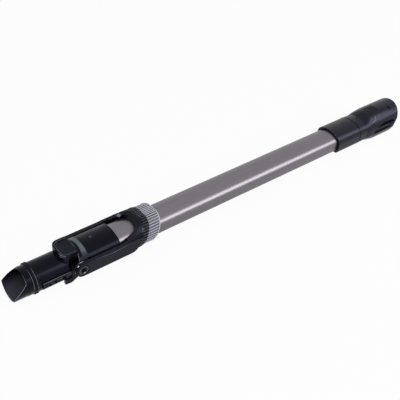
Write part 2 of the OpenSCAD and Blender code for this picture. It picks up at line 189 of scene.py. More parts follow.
@dataclass(frozen=True)
class Finish:
    """Surface of one real material.

    Attributes:
        name: the material's plain name.
        pale: sRGB hex value of the paler patches.
        deep: sRGB hex value of the deeper patches.
        metallic: 1 for bare or anodised metal.
        rough: roughness of the smooth patches.
        rough_more: roughness added in the dull patches.
        shine: specular level, at which 0.5 is a bare polished plastic.
        patch_mm: size of the cloudy patches.
        grit_mm: size of the fine grain.
        relief_mm: height of the fine grain.
        grain: which way the pattern is drawn out.
        fade_mm: places in the wand's millimetres between which it comes out of black, as painted
            shade.
        fade_axis: axis of those places, 1 across and 2 up.
    """

    name: str
    pale: str
    deep: str
    metallic: float = 0.0
    rough: float = 0.3
    rough_more: float = 0.1
    shine: float = 0.5
    patch_mm: float = 30.0
    grit_mm: float = 0.8
    relief_mm: float = 0.004
    grain: Grain = Grain.MOULDED
    fade_mm: tuple[float, float] | None = None
    fade_axis: int = 2

    def build(self) -> bpy.types.Material:
        """Makes the material once.

        Returns:
            The new material, or the one of that name that is already there.
        """
        ready = bpy.data.materials.get(self.name)
        if ready:
            return ready
        mat = bpy.data.materials.new(self.name)
        mat.use_nodes = True
        tree = mat.node_tree
        tree.nodes.clear()
        place = add_node(tree, "ShaderNodeTexCoord").outputs["Object"]
        drawn = add_node(tree, "ShaderNodeMapping", {0: place},
                         {"Scale": self.grain.value}).outputs[0]
        cloud = add_node(tree, "ShaderNodeTexNoise", {"Vector": drawn},
                         {"Scale": 1000 / self.patch_mm, "Detail": 4.0}).outputs[0]
        grit = add_node(tree, "ShaderNodeTexNoise", {"Vector": drawn},
                        {"Scale": 1000 / self.grit_mm, "Detail": 2.0}).outputs[0]
        ramp = add_node(tree, "ShaderNodeValToRGB", {0: cloud})
        ramp.color_ramp.elements[0].position = 0.35
        ramp.color_ramp.elements[0].color = linear(self.deep)
        ramp.color_ramp.elements[1].position = 0.65
        ramp.color_ramp.elements[1].color = linear(self.pale)
        colour = ramp.outputs[0]
        # Painted shade: the colour darkens to near black between the two places.
        if self.fade_mm:
            axes = add_node(tree, "ShaderNodeSeparateXYZ", {0: place}).outputs
            low, high = [at(0, v, v)[self.fade_axis] for v in self.fade_mm]
            lit = add_node(tree, "ShaderNodeMapRange", {0: axes[self.fade_axis]},
                           {1: low, 2: high}).outputs[0]
            shade = add_node(tree, "ShaderNodeMix", {0: lit, 7: colour},
                             {6: linear(FADE_DARK)}, data_type="RGBA")
            colour = shade.outputs[2]
        dull = add_node(tree, "ShaderNodeMapRange", {0: grit},
                        {3: self.rough, 4: self.rough + self.rough_more}).outputs[0]
        bump = add_node(tree, "ShaderNodeBump", {"Height": grit},
                        {"Strength": 0.5, "Distance": self.relief_mm * MM}).outputs[0]
        skin = add_node(tree, "ShaderNodeBsdfPrincipled",
                        {"Base Color": colour, "Roughness": dull, "Normal": bump},
                        {"Metallic": self.metallic, "Specular IOR Level": self.shine,
                         "Specular Tint": linear(WHITE if self.metallic else BLUE_SHEEN)})
        add_node(tree, "ShaderNodeOutputMaterial", {0: skin.outputs[0]})
        return mat


# Satin anodised aluminium: die-drawn, so its faint streaks run along the tube.
ANODISED = Finish("anodised_aluminium", "78747a", "706c71", metallic=1.0, rough=0.3,
                  rough_more=0.06, patch_mm=18.0, grit_mm=0.5, grain=Grain.DRAWN)
# Glossy moulded ABS: near black, with a thin bluish sheen from a pale room.
GLOSS_ABS = Finish("gloss_black_abs", "09090f", "06060b", rough=0.2, rough_more=0.06,
                   shine=0.13, patch_mm=24.0, grit_mm=1.2, relief_mm=0.003)
# The same ABS with a satin skin, on the yoke.
SATIN_ABS = Finish("satin_black_abs", "16161e", "111118", rough=0.3, rough_more=0.08,
                   shine=0.15, patch_mm=24.0, grit_mm=1.0, relief_mm=0.005)
# The same ABS in the socket's paler batch.
SOCKET_ABS = Finish("blue_black_abs", "13131b", "0e0e15", rough=0.24, rough_more=0.06,
                    shine=0.24, patch_mm=24.0, grit_mm=1.0, relief_mm=0.003)
# The same ABS on the spigot's inner wall, lightened to grey as painted light, with painted shade
# that darkens it towards its top.
INNER_WALL_PAINTED_LIGHT = Finish("inner_wall_painted_light_and_shade", "4a4a55", "3c3c46", rough=0.5, rough_more=0.1,
                   shine=0.1, patch_mm=14.0, grit_mm=0.9, relief_mm=0.006, fade_mm=(-4.0, -17.0))
# The same ABS, paler: painted highlights on edges and rims and on the yoke's inner fillet, and the
# cover's mark.
HIGHLIGHT_AND_MARK_ABS = Finish("abs_painted_highlights_and_marks", "85858f", "6a6a74", rough=0.3, rough_more=0.1,
                  shine=0.3, patch_mm=8.0, grit_mm=0.8, relief_mm=0.003)
# The same ABS, near black: painted shade in holes, the screws' recesses, the grip recess and the
# slot, and the dark joint lines, marks and dot.
DEEP_ABS = Finish("black_abs_painted_shade_and_marks", "050507", "030305", rough=0.6, rough_more=0.1,
                  shine=0.02, patch_mm=8.0, grit_mm=0.8, relief_mm=0.003)
# Matt moulded polypropylene: fine spark-eroded grain that breaks up the light.
MATT_PP = Finish("matt_black_polypropylene", "1c1c23", "15151b", rough=0.45, rough_more=0.15,
                 shine=0.1, patch_mm=12.0, grit_mm=0.7, relief_mm=0.02)
# Light grey ABS of the ribbed ring.
GREY_ABS = Finish("light_grey_abs", "bcbcc4", "b0b0b9", rough=0.34, rough_more=0.1,
                  shine=0.4, patch_mm=20.0, grit_mm=0.9, relief_mm=0.006)
# The same grey ABS darkened as painted shade in the ring's valleys, and the sliding mark's own
# grey.
GREY_SHADE_AND_MARK = Finish("grey_abs_painted_shade_and_mark", "6b6b73", "5f5f67", rough=0.5, rough_more=0.1,
                     shine=0.2, patch_mm=20.0, grit_mm=0.9, relief_mm=0.006)
# Pale grey painted highlights: the grey ring's lip, and the small glints at the pivots.
PAINTED_GLINT_GREY = Finish("pale_grey_painted_highlights", "d6d6dc", "c8c8cf", rough=0.3, rough_more=0.1,
                  shine=0.4, patch_mm=6.0, grit_mm=0.8, relief_mm=0.004)
# Black ABS of the narrow band: ribs lightened as painted light and a little glossier, valleys
# darkened as painted shade and duller.
BAND_LIT_RIB = Finish("black_ribs_painted_light", "3c3c43", "34343b", rough=0.3, rough_more=0.1,
                  shine=0.3, patch_mm=20.0, grit_mm=0.9, relief_mm=0.004)
BAND_SHADED_VALLEY = Finish("black_valleys_painted_shade", "0a0a0c", "070709", rough=0.5, rough_more=0.1,
                     shine=0.1, patch_mm=20.0, grit_mm=0.9, relief_mm=0.006)
# Slate ABS of the shoulder: satin, a little bluish, its grey partly a painted sheen, and black
# towards the near side as painted shade.
SLATE_SHEEN_ABS = Finish("slate_abs_painted_sheen_and_shade", "626970", "585f66", rough=0.36, rough_more=0.1,
                   shine=0.2, patch_mm=16.0, grit_mm=0.9, relief_mm=0.006,
                   fade_mm=(-17.5, -10.5), fade_axis=1)
# Moulded nitrile rubber: dull, with a dusty bloom.
NITRILE = Finish("nitrile_rubber", "17171c", "0e0e12", rough=0.5, rough_more=0.2,
                 shine=0.1, patch_mm=6.0, grit_mm=0.5, relief_mm=0.015)
# Zinc-plated steel of the bushes, washers and springs.
ZINC_STEEL = Finish("zinc_plated_steel", "c9c9ce", "b7b8bd", metallic=1.0, rough=0.22,
                    rough_more=0.15, patch_mm=3.0, grit_mm=0.3, relief_mm=0.004)
# Blackened steel of the screws.
BLACK_STEEL = Finish("blackened_steel", "222227", "18181c", metallic=1.0, rough=0.2,
                     rough_more=0.15, patch_mm=3.0, grit_mm=0.3, relief_mm=0.004)


def dress(piece: bpy.types.Object, finish: Finish) -> None:
    """Gives every slot of a piece one finish.

    Args:
        piece: the piece.
        finish: its surface.
    """
    mat = finish.build()
    if not piece.data.materials:
        piece.data.materials.append(mat)
    for slot in piece.material_slots:
        slot.material = mat


def piece_from(bm: bmesh.types.BMesh, name: str, finish: Finish, body: str,
               angle: float = 35.0, more: tuple[Finish, ...] = ()) -> bpy.types.Object:
    """Turns a finished bmesh into a piece that rides on a body.

    Args:
        bm: the mesh, in the row frame and in metres. It is freed.
        name: name of the piece.
        finish: its surface.
        body: CAD body that carries it.
        angle: edges sharper than this, in degrees, stay crisp.
        more: finishes of further slots, for faces with a higher material index.

    Returns:
        The new object, at the origin.
    """
    mesh = bpy.data.meshes.new(name)
    for face in bm.faces:
        face.smooth = True
    for edge in bm.edges:
        if len(edge.link_faces) == 2:
            edge.smooth = edge.calc_face_angle(0.0) < math.radians(angle)
    bm.to_mesh(mesh)
    bm.free()
    piece = bpy.data.objects.new(name, mesh)
    bpy.context.scene.collection.objects.link(piece)
    dress(piece, finish)
    for other in more:
        piece.data.materials.append(other.build())
    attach(piece, body)
    log.info("%s: %d faces on %s", name, len(mesh.polygons), body)
    return piece


def copied(frame: dict[str, Any], node: str, flatten: bool = False) -> bmesh.types.BMesh:
    """Copies a CAD node's mesh, and leaves the node as it is.

    Args:
        node: the CAD node.
        flatten: makes one face of those that lie in one plane.

    Returns:
        The merged copy.
    """
    bm = bmesh.new()
    bm.from_mesh(frame["nodes"][node].data)
    bmesh.ops.remove_doubles(bm, verts=bm.verts, dist=MERGE_M)
    if flatten:
        bmesh.ops.dissolve_limit(bm, angle_limit=math.radians(FLAT_DEG), verts=bm.verts,
                                 edges=bm.edges)
    return bm


def round_edges(piece: bpy.types.Object, width_mm: float) -> None:
    """Rounds the sharp edges of a piece.

    Args:
        piece: the piece.
        width_mm: width of the rounded edges.
    """
    edge = piece.modifiers.new("rounded_edges", "BEVEL")
    edge.width = width_mm * MM
    edge.segments = EDGE_FACETS
    edge.limit_method = "ANGLE"
    edge.angle_limit = math.radians(SHARP_DEG)
    edge.use_clamp_overlap = True


def softened(frame: dict[str, Any], node: str, finish: Finish, body: str,
             width_mm: float) -> bpy.types.Object:
    """Piece with a CAD node's form and rounded edges, shown in the node's place.

    Args:
        node: the CAD node it stands for.
        finish: its surface.
        body: the body that carries the node.
        width_mm: width of the rounded edges.

    Returns:
        The new object.
    """
    piece = piece_from(copied(frame, node, flatten=True), node + "_shell", finish, body)
    round_edges(piece, width_mm)
    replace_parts(piece, node)
    return piece


def ribs_with_shaded_valleys(frame: dict[str, Any], node: str, ribs: Finish, valleys: Finish, body: str,
              r: float, hw: float) -> None:
    """Ribbed ring with painted shade in its valleys, shown in its node's place.

    Args:
        node: the CAD node of the ring.
        ribs: finish of the ribs and of the rest of the ring.
        valleys: darker finish of the ground between the ribs, as painted shade.
        body: the body that carries the ring.
        r: radius of the ground oval's ends, in mm.
        hw: half width of the ground oval, in mm.
    """
    bm = copied(frame, node)
    for face in bm.faces:
        spot = face.calc_center_median()
        side, high = abs(spot.y) / MM - (hw - r), spot.z / MM - LIFT_Z - COLLAR_Z
        off = math.hypot(max(side, 0.0), high) - r
        face.material_index = int(VALLEY_LOW < off < VALLEY_HIGH and abs(face.normal.x) < 0.6)
    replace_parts(piece_from(bm, node + "_ribs", ribs, body, 25.0, (valleys,)), node)


def steps(a: float, b: float, n: int) -> list[float]:
    """Evenly spaced values.

    Args:
        a: the first one.
        b: the last one.
        n: how many steps lie between them.

    Returns:
        The values, n + 1 in number.
    """
    return [a + (b - a) * i / n for i in range(n + 1)]


def dee_path(x: float, grow: float, slope: float, low: float,
             whole: bool = False) -> list[Vector]:
    """Points on the outline of the tube's section, grown, from the near foot to the far one.

    Args:
        x: place along the wand at the tube's middle height, in mm.
        grow: how far outside the tube, in mm.
        slope: how far the outline leans along the wand for each mm of height.
        low: height of both ends, in mm.
        whole: goes on below, round the flat underside.

    Returns:
        Points in the row frame.
    """
    def arc(y: float, z: float, r: float, first: float, last: float,
            n: int = ARC_STEPS) -> list[tuple[float, float]]:
        """Points across the tube on an arc, which is grown with the outline.

        Args:
            y: its middle across the wand.
            z: its middle's height.
            r: its radius on the tube.
            first: angle of the first point, in radians.
            last: angle of the last point.
            n: steps.

        Returns:
            Pairs of a place across the wand and a height.
        """
        return [(y + (r + grow) * math.cos(a), z + (r + grow) * math.sin(a))
                for a in steps(first, last, n)]

    far_end, near_end = math.radians(DOME_DEG), math.radians(180 - DOME_DEG)
    side = HALF_W + grow
    flat = [(-side, low)]
    flat += arc(-CORNER_Y, 0, CORNER_R, math.pi, far_end)
    flat += arc(0, DOME_Z, DOME_R, far_end, near_end, 2 * ARC_STEPS)
    flat += arc(CORNER_Y, 0, CORNER_R, near_end, 0.0)
    flat += [(side, low)]
    if whole:
        flat += arc(FOOT_Y, FOOT_Z, FOOT_R, 0.0, -math.pi / 2)
        flat += arc(-FOOT_Y, FOOT_Z, FOOT_R, -math.pi / 2, -math.pi)
    return [at(x + slope * z, y, z) for y, z in flat]


def oval_path(x: float, r: float, hw: float, low: float, high: float,
              n: int = 72) -> list[Vector]:
    """Points on an oval about the collar's middle, on a plane that leans with the collar.

    Args:
        x: place along the wand at height 0, in mm.
        r: radius of the oval's ends, in mm.
        hw: half width, in mm.
        low: angle of the first point from far to top to near, in degrees.
        high: angle of the last point.
        n: steps.

    Returns:
        Points in the row frame.
    """
    path = []
    for a in steps(math.radians(low), math.radians(high), n):
        y = r * math.cos(a)
        y += math.copysign(hw - r, y) if abs(y) > 1e-6 else 0.0
        z = COLLAR_Z + r * math.sin(a)
        path.append(at(x + SLANT * z, y, z))
    return path


def circle(x: float, y: float, z: float, r: float, axis: str, low: float = 0.0,
           high: float = 360.0) -> list[Vector]:
    """Points on a circle or an arc about one axis of the wand.

    Args:
        x: its middle along the wand, in mm.
        y: its middle across the wand, in mm.
        z: its middle's height, in mm.
        r: radius, in mm.
        axis: the axis it goes round, "x", "y" or "z".
        low: angle of the first point, in degrees.
        high: angle of the last point.

    Returns:
        Points in the row frame.
    """
    path = []
    for a in steps(math.radians(low), math.radians(high), CIRCLE_STEPS):
        u, v = r * math.cos(a), r * math.sin(a)
        path.append({"x": at(x, y + u, z + v), "y": at(x + u, y, z + v),
                     "z": at(x + u, y + v, z)}[axis])
    return path


def cord(name: str, path: list[Vector], radius_mm: float, finish: Finish, body: str,
         taper: bool = False) -> bpy.types.Object:
    """Thin round moulding along a path; it closes where the ends of the path meet.

    Args:
        name: name of the piece.
        path: points in the row frame.
        radius_mm: radius.
        finish: its surface.
        body: CAD body that carries it.
        taper: thins out towards both ends.

    Returns:
        The new object.
    """
    closed = (path[0] - path[-1]).length < 1e-7
    path = path[:-1] if closed else path
    count = len(path)
    bm = bmesh.new()
    rings, across = [], None
    for i, point in enumerate(path):
        before = path[i - 1] if closed or i else point
        after = path[(i + 1) % count] if closed or i < count - 1 else point
        along = (after - before).normalized()
        if across is None:
            across = along.orthogonal().normalized()
        across = (across - along * across.dot(along)).normalized()
        over = along.cross(across)
        share = 4 * (i + 0.4) * (count - 0.6 - i) / count ** 2 if taper else 1.0
        rad = radius_mm * MM * min(1.0, share)
        rings.append([bm.verts.new(point + rad * (across * math.cos(t) + over * math.sin(t)))
                      for t in steps(0.0, 2 * math.pi * (1 - 1 / CORD_SIDES), CORD_SIDES - 1)])
    for i in range(count if closed else count - 1):
        one, two = rings[i], rings[(i + 1) % count]
        shift = 0
        if closed and i == count - 1:
            shift = min(range(CORD_SIDES), key=lambda k: (two[k].co - one[0].co).length)
        for k in range(CORD_SIDES):
            bm.faces.new((one[k], one[(k + 1) % CORD_SIDES],
                          two[(k + 1 + shift) % CORD_SIDES], two[(k + shift) % CORD_SIDES]))
    if not closed:
        bm.faces.new(list(reversed(rings[0])))
        bm.faces.new(rings[-1])
    bmesh.ops.recalc_face_normals(bm, faces=bm.faces)
    return piece_from(bm, name, finish, body, 50.0)


def slab(name: str, corners: list[tuple[float, float, float]], up: tuple[float, float, float],
         thick_mm: float, finish: Finish, body: str) -> bpy.types.Object:
    """Small flat plate that lies half sunk in a surface.

    Args:
        name: name of the piece.
        corners: its corners on the surface, in the wand's millimetres.
        up: direction away from the surface.
        thick_mm: thickness above the corners; as much lies below them.
        finish: its surface.
        body: CAD body that carries it.

    Returns:
        The new object.
    """
    lift = Vector(up).normalized() * thick_mm * MM
    bm = bmesh.new()
    lower = [bm.verts.new(at(*c) - lift) for c in corners]
    upper = [bm.verts.new(at(*c) + lift) for c in corners]
    bm.faces.new(lower)
    bm.faces.new(upper)
    for i in range(len(corners)):
        j = (i + 1) % len(corners)
        bm.faces.new((lower[i], lower[j], upper[j], upper[i]))
    bmesh.ops.recalc_face_normals(bm, faces=bm.faces)
    return piece_from(bm, name, finish, body)


def skin_between(name: str, outer: list[list[Vector]], inner: list[list[Vector]],
                 finish: Finish, body: str) -> bpy.types.Object:
    """Closed skin through rows of points, with an outer and an inner face.

    Args:
        name: name of the piece.
        outer: loops of the outer face, each closed on itself.
        inner: loops of the inner face, as many, with as many points.
        finish: its surface.
        body: CAD body that carries it.

    Returns:
        The new object.
    """
    bm = bmesh.new()
    rows = [[bm.verts.new(p) for p in loop] for loop in (*outer, *reversed(inner))]
    n = len(rows[0])
    for i, one in enumerate(rows):
        two = rows[(i + 1) % len(rows)]
        for k in range(n):
            bm.faces.new((one[k], one[(k + 1) % n], two[(k + 1) % n], two[k]))
    bmesh.ops.recalc_face_normals(bm, faces=bm.faces)
    return piece_from(bm, name, finish, body, 40.0)


def seen_rays(tree: bpy.types.NodeTree) -> bpy.types.NodeSocket:
    """Output that is 1 for the rays that show a background, also in metal and in glass.

    Args:
        tree: node tree that takes the nodes.

    Returns:
        The socket.
    """
    path = add_node(tree, "ShaderNodeLightPath").outputs
    two = add_node(tree, "ShaderNodeMath",
                   {0: path["Is Camera Ray"], 1: path["Is Glossy Ray"]}, operation="MAXIMUM")
    return add_node(tree, "ShaderNodeMath",
                    {0: two.outputs[0], 1: path["Is Transmission Ray"]},
                    operation="MAXIMUM").outputs[0]


@dataclass(frozen=True)
class SoftBox:
    """Rectangular lamp that faces the middle of the wand.

    Attributes:
        name: name of the lamp.
        way: direction from the wand to the lamp.
        far: distance in metres.
        size: width and height in metres.
        watts: power.
    """

    name: str
    way: tuple[float, float, float]
    far: float
    size: tuple[float, float]
    watts: float

    def hang(self) -> None:
        """Adds the lamp to the scene."""
        light = bpy.data.lights.new(self.name, "AREA")
        light.shape = "RECTANGLE"
        light.size, light.size_y = self.size
        light.energy = self.watts
        lamp = bpy.data.objects.new(self.name, light)
        spot = Vector(self.way).normalized() * self.far
        turn = spot.to_track_quat("Z", "Y").to_matrix().to_4x4()
        lamp.matrix_world = Matrix.Translation(spot) @ turn
        bpy.context.scene.collection.objects.link(lamp)


SOFT_BOXES = (
    SoftBox("front_box", (0.51, -0.65, 0.57), 1.6, (1.3, 0.85), 17.0),
    SoftBox("top_box", (-0.4, 0.1, 0.91), 1.5, (1.4, 0.8), 5.0),
    SoftBox("left_box", (-0.9, -0.1, 0.45), 1.5, (0.8, 0.6), 4.0),
)


@dataclass
class Studio:
    """Camera, floor, room and lamps.

    Attributes:
        eye: the camera's place, in metres.
        lens_mm: focal length on a sensor 36 mm wide.
        right: the camera's own +X.
        up: the camera's own +Y.
        ahead: the way the camera looks.
    """

    eye: Vector = field(default_factory=lambda: Vector((-0.546838, -0.5593, 0.6599)))
    lens_mm: float = 69.84
    right: Vector = field(default_factory=lambda: Vector((0.783527, -0.616935, 0.073982)))
    up: Vector = field(default_factory=lambda: Vector((0.358373, 0.546035, 0.757218)))
    ahead: Vector = field(default_factory=lambda: Vector((0.507527, 0.56685, -0.648961)))

    def build_camera(self) -> None:
        """Places the camera at the photograph's viewing angle."""
        lens = bpy.data.cameras.new("camera")
        lens.lens = self.lens_mm
        lens.sensor_width = 36.0
        lens.clip_start = 0.01
        eye = bpy.data.objects.new("camera", lens)
        turn = Matrix((self.right, self.up, -self.ahead)).transposed().to_4x4()
        eye.matrix_world = Matrix.Translation(self.eye) @ turn
        bpy.context.scene.collection.objects.link(eye)
        bpy.context.scene.camera = eye

    def build_floor(self) -> None:
        """Lays the white floor, which keeps a soft shadow and shows as white."""
        bm = bmesh.new()
        bmesh.ops.create_grid(bm, x_segments=1, y_segments=1, size=6.0)
        mesh = bpy.data.meshes.new("floor")
        bm.to_mesh(mesh)
        bm.free()
        floor = bpy.data.objects.new("floor", mesh)
        bpy.context.scene.collection.objects.link(floor)
        mat = bpy.data.materials.new("white_paper_floor")
        mat.use_nodes = True
        tree = mat.node_tree
        tree.nodes.clear()
        matt = add_node(tree, "ShaderNodeBsdfDiffuse", None, {0: linear(FLOOR_TONE)})
        glow = add_node(tree, "ShaderNodeEmission", None, {0: linear(WHITE), 1: 1.0})
        share = add_node(tree, "ShaderNodeMath", {0: seen_rays(tree)}, {1: FLOOR_WHITE},
                         operation="MULTIPLY")
        both = add_node(tree, "ShaderNodeMixShader",
                        {0: share.outputs[0], 1: matt.outputs[0], 2: glow.outputs[0]})
        add_node(tree, "ShaderNodeOutputMaterial", {0: both.outputs[0]})
        floor.data.materials.append(mat)

    def build_world(self) -> None:
        """Fills the room with even light, which the camera sees as white."""
        world = bpy.data.worlds.new("room")
        bpy.context.scene.world = world
        world.use_nodes = True
        tree = world.node_tree
        tree.nodes.clear()
        room = add_node(tree, "ShaderNodeBackground", None,
                        {0: linear(ROOM_TONE), 1: ROOM_LEVEL})
        seen = add_node(tree, "ShaderNodeBackground", None, {0: linear(WHITE), 1: 1.0})
        both = add_node(tree, "ShaderNodeMixShader",
                        {0: seen_rays(tree), 1: room.outputs[0], 2: seen.outputs[0]})
        add_node(tree, "ShaderNodeOutputWorld", {0: both.outputs[0]})

    def build(self) -> None:
        """Builds the whole studio."""
        self.build_camera()
        self.build_floor()
        self.build_world()
        for box in SOFT_BOXES:
            box.hang()
        bpy.context.scene.view_settings.view_transform = "Standard"
        log.info("studio: camera, floor, room and %d soft boxes", len(SOFT_BOXES))


@dataclass
class Wand:
    """The wand: its CAD nodes and what is laid over them.

    Attributes:
        bodies: the body that carries each node.
    """

    frame: dict[str, Any]
    bodies: dict[str, str] = field(default_factory=dict)

    def __post_init__(self) -> None:
        """Notes which body carries each node."""
        for body, nodes in self.frame["record"]["behaviour"]["bodies"].items():
            for node in nodes:
                self.bodies[node] = body

    def dress_nodes(self) -> None:
        """Gives every node of the frame its finish."""
        plain = {
            ANODISED: ["wand_tube"],
            GREY_ABS: ["grip_ring"],
            SLATE_SHEEN_ABS: ["shoulder_band", "tube_end_fitting"],
            NITRILE: ["joint_hose", "bead_ring", "socket_seal"],
            ZINC_STEEL: ["pivot_bushes", "pivot_washers", "button_spring", "latch_spring"],
            BLACK_STEEL: ["pivot_screws", "socket_screw"],
            MATT_PP: ["guide_rails", "hose_cuff", "neck_plug", "latch_button"],
            SATIN_ABS: ["yoke"],
            SOCKET_ABS: ["socket_sleeve", "neck_cover", "socket_core", "upper_shell",
                         "lower_shell"],
        }
        worn = {node: finish for finish, nodes in plain.items() for node in nodes}
        for name, node in self.frame["nodes"].items():
            dress(node, worn.get(name, GLOSS_ABS))
        log.info("nodes dressed: %d", len(self.frame["nodes"]))

    def trim_spigot(self) -> None:
        """Adds painted highlights on the mouth's rim, the bead's lips and the rails' edges, and
        paints light and shade on the inner wall.
        """
        # Pale cord along the mouth's rim: a painted highlight.
        rim = []
        for high in steps(16.4, -2.6, 30):
            over = high - KNEE_Z
            x = MOUTH_X + KNEE_X + (over / 14 if over > 0 else 1.25 * over)
            rim.append(at(x, -math.sqrt(MOUTH_R ** 2 - high ** 2), SPIGOT_Z + high))
        rim += [at(MOUTH_X + 0.4, -MOUTH_R * math.cos(a), SPIGOT_Z - MOUTH_R * math.sin(a))
                for a in steps(0.2, math.pi / 2, 12)]
        cord("mouth_rim_highlight", rim, 0.42, HIGHLIGHT_AND_MARK_ABS, "head", taper=True)
        # Pale cords along the bead's lips: painted highlights.
        for name, x, rad in (("front", -164.4, 17.9), ("rear", -160.4, 19.1)):
            cord(f"bead_{name}_lip", circle(x, 0, SPIGOT_Z, rad, "x", 95, 215), 0.3,
                 HIGHLIGHT_AND_MARK_ABS, "head", taper=True)
        # The inner wall's faces take the grey finish: painted light, darkened towards the top as
        # painted shade.
        bm = copied(self.frame, "spigot_pipe", flatten=True)
        for face in bm.faces:
            spot = face.calc_center_median()
            far = math.hypot(spot.y / MM, spot.z / MM - LIFT_Z - SPIGOT_Z)
            face.material_index = int(far < INNER_R and abs(face.normal.x) < 0.5)
        pipe = piece_from(bm, "spigot_pipe_painted_inner_light", GLOSS_ABS, "head", 35.0, (INNER_WALL_PAINTED_LIGHT,))
        round_edges(pipe, 0.5)
        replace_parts(pipe, "spigot_pipe")
        for name, way in (("near", -1), ("far", 1)):
            # Pale cords along each rail's edge and round its notches: painted highlights.
            edge = [at(x, way * RAIL_Y, -3.1) for x in (-154.6, -119.4)]
            cord(f"rail_{name}_edge", edge, 0.28, HIGHLIGHT_AND_MARK_ABS, "head")
            for i in range(3):
                x = NOTCH_X + NOTCH_STEP * i
                notch = [at(x, way * (RAIL_Y - 0.1), -9.9), at(x, way * (RAIL_Y + 0.25), -6.0),
                         at(x + 6.6, way * (RAIL_Y + 0.25), -6.0)]
                cord(f"rail_{name}_notch_{i}", notch, 0.22, HIGHLIGHT_AND_MARK_ABS, "head")

    def trim_head(self) -> None:
        """Adds painted highlights on the button's outline, the hood's rims and the cover's lip,
        and the cover's mark.
        """
        turn_x, turn_y = -118, -6.6
        plan = [(-107.2, -12.6), (-118.0, -12.6)]
        plan += [(turn_x + 6 * math.cos(a), turn_y + 6 * math.sin(a))
                 for a in steps(-math.pi / 2, -math.pi, 8)]
        plan += [(x, -y) for x, y in reversed(plan)]
        # Pale cord round the button: a painted highlight.
        cord("button_outline_highlight", [at(x, y, 17.62) for x, y in plan], 0.22, HIGHLIGHT_AND_MARK_ABS,
             "release_button")
        front = [(-126.0, 9.0), (-126.0, turn_y)]
        front += [(turn_x + 8.3 * math.cos(a), turn_y + 8.3 * math.sin(a))
                  for a in steps(-math.pi, -math.pi * 0.62, 8)]
        # Pale cords on the hood's upper and lower rims and round its rear: painted highlights.
        for name, z, rad in (("upper", 17.85, 0.42), ("lower", 15.4, 0.34)):
            cord(f"hood_{name}_line", [at(x - 0.1, y, z) for x, y in front], rad, HIGHLIGHT_AND_MARK_ABS,
                 "head", taper=True)
        cord("hood_rear_rim_highlight", dee_path(-111.2, 3.0, SLANT, 3.0), 0.4, HIGHLIGHT_AND_MARK_ABS, "head", taper=True)
        cord("cover_mark", circle(-80.7, 1.0, 14.0, 1.5, "z", -30, 230), 0.22, HIGHLIGHT_AND_MARK_ABS, "head")
        # Pale cord on the cover's rear lip: a painted highlight.
        cord("cover_rear_lip_highlight", dee_path(-53.1, 2.55, 0.0, -2.0), 0.24, HIGHLIGHT_AND_MARK_ABS, "head",
             taper=True)

    def trim_yoke(self) -> None:
        """Adds the arms' bevels with painted highlights, the pivots' cords with painted
        highlights, glints and painted shade, the ring's ridges, a painted highlight on the inner
        fillet, and the mark.
        """
        bevel = [(-90, 5.6), (-81.2, 5.0), (-73.1, 3.7), (-64.9, 3.2), (-58, 3.8), (-51, 4.5),
                 (-45, 5.9)]
        for name, way in (("near", -1), ("far", 1)):
            # Pale cord along the arm's bevel: a painted highlight.
            cord(f"arm_{name}_bevel", [at(x, way * ARM_Y, z) for x, z in bevel], 0.22, HIGHLIGHT_AND_MARK_ABS,
                 "wand", taper=True)
            # Part, place off the bosses' face, radius, both angles, thickness and finish. The rim
            # and both glints are painted highlights; the recess is painted shade.
            for part, out, r, low, high, thick, finish in (
                ("boss", 0.0, 7.0, 0, 360, 0.7, GLOSS_ABS),
                ("rim", 0.0, 5.2, 0, 360, 0.38, HIGHLIGHT_AND_MARK_ABS),
                ("glint", -2.5, 9.0, 119, 138, 0.8, PAINTED_GLINT_GREY),
                ("recess", -0.7, 1.5, 0, 360, 1.35, DEEP_ABS),
                ("screw_glint", 0.2, 3.7, -100, -58, 0.6, PAINTED_GLINT_GREY),
            ):
                path = circle(PIVOT_X, way * (PIVOT_Y + out), PIVOT_Z, r, "y", low, high)
                cord(f"pivot_{name}_{part}", path, thick, finish, "wand", taper=high < 360)
        for i, x in enumerate((-29.4, -33.2)):
            cord(f"ring_ridge_{i}", oval_path(x, 20.15, 25.2, 25, 172), 0.32, SATIN_ABS, "wand")
        # Pale plate on the yoke's inner fillet: a painted highlight.
        slab("inner_fillet_highlight", [(-34.2, 17.8, 10.4), (-30.4, 18.2, 12.1), (-29.4, 14.6, 12.6),
                           (-32.6, 14.0, 11.1)], (-0.42, 0, 0.91), 0.7, HIGHLIGHT_AND_MARK_ABS, "wand")
        slab("sliding_mark", [(-22.2, -18.6, 13.6), (-20.6, -19.6, 12.0), (-21.6, -21.5, 9.2),
                              (-24.6, -21.4, 10.0)], (0, -0.75, 0.66), 0.45, GREY_SHADE_AND_MARK, "wand")
        cord("sliding_mark_dot", circle(-22.4, -20.9, 11.6, 0.5, "y"), 0.3, DEEP_ABS, "wand")

    def trim_collar(self) -> None:
        """Gives both ribbed rings painted shade in their valleys, the black band painted light on
        its ribs, and the grey ring a lip with a painted highlight.
        """
        # The black band's lighter ribs are painted light; both rings' darker valleys are painted
        # shade.
        ribs_with_shaded_valleys(self.frame, "grip_ring", GREY_ABS, GREY_SHADE_AND_MARK, "collar", 18.25, 23.3)
        ribs_with_shaded_valleys(self.frame, "grip_band", BAND_LIT_RIB, BAND_SHADED_VALLEY, "collar", 19.35, 24.4)
        # Pale cord on the grey ring's lip: a painted highlight.
        cord("ring_lip_highlight", oval_path(-1.7, 18.75, 23.8, 0, 360, 144), 0.5, PAINTED_GLINT_GREY, "collar")

